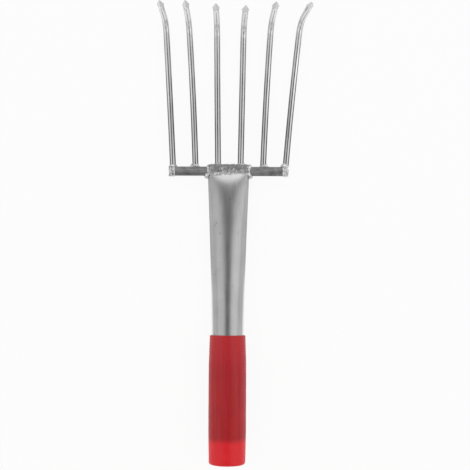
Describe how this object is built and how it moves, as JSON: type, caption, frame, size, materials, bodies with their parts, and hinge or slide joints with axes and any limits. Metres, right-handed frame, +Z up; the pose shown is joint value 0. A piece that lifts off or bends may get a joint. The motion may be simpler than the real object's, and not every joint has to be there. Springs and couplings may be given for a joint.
{
  "type": "uncapping fork",
  "caption": "Hand fork for uncapping honeycomb: slender hooked, pointed steel tines welded to a crossbar, a tube shank with a flattened neck, and a soft red closed-end grip.",
  "frame": {"origin": "on the table, under the middle of the footprint of the tool as it lies on its back", "axes": "+Y towards the tines, +Z up, the way the hooks turn, and +X to the right of someone who holds the grip and looks along the tines"},
  "size_m": [0.1062, 0.3154, 0.0295],
  "materials": {
    "tube_steel": "drawn stainless tube, satin, with a worn band where it was pressed",
    "bar_steel": "flat bar, duller and darker, with weld colours near its ends",
    "tine_steel": "bright drawn rod",
    "weld_metal": "rough, rippled bead, partly brushed",
    "grip_vinyl": "soft translucent dipped vinyl, satin"
  },
  "bodies": {
    "root": {"shank_tube": "tube_steel", "crossbar": "bar_steel", "tine_1": "tine_steel", "tine_2": "tine_steel", "tine_3": "tine_steel", "tine_4": "tine_steel", "tine_5": "tine_steel", "tine_6": "tine_steel", "tine_weld_1": "weld_metal", "tine_weld_2": "weld_metal", "tine_weld_3": "weld_metal", "tine_weld_4": "weld_metal", "tine_weld_5": "weld_metal", "tine_weld_6": "weld_metal", "neck_weld_top": "weld_metal", "neck_weld_under_left": "weld_metal", "neck_weld_front_left": "weld_metal", "neck_weld_rear_left": "weld_metal", "neck_weld_under_right": "weld_metal", "neck_weld_front_right": "weld_metal", "neck_weld_rear_right": "weld_metal", "grip_sleeve": "grip_vinyl"}
  },
  "joints": []
}
